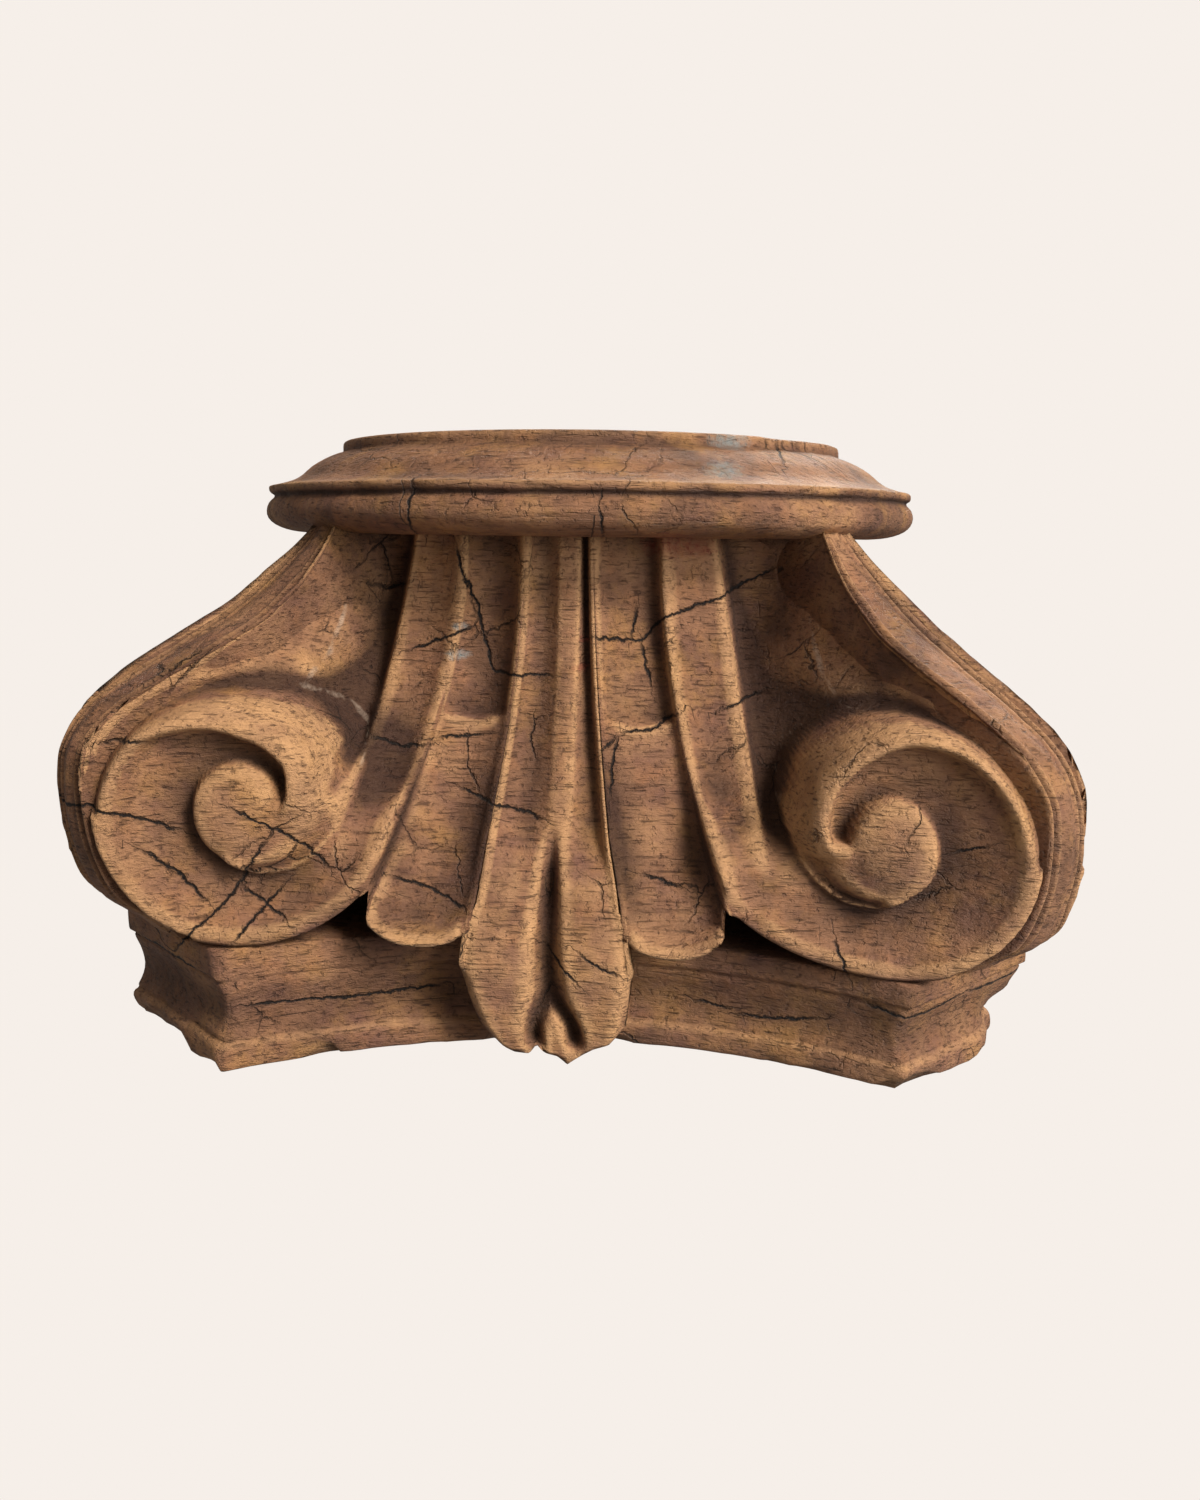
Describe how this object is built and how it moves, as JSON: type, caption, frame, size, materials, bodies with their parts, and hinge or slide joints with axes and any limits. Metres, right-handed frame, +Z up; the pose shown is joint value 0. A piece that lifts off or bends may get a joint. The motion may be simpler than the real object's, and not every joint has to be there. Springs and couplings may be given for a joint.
{
  "type": "column base",
  "caption": "Carved timber column base: round moulded seat over a fluted leafy bell with corner scroll volutes, on a square block with hollowed sides.",
  "frame": {"origin": "centre of the square underside, on the ground", "axes": "+Z up along the axis of the turned seat, -Y out of one carved face, +X to the right of someone facing that face"},
  "size_m": [0.482, 0.482, 0.3025],
  "materials": {
    "weathered_teak": "weathered, matt"
  },
  "bodies": {
    "root": {"column_base": "weathered_teak"}
  },
  "joints": []
}
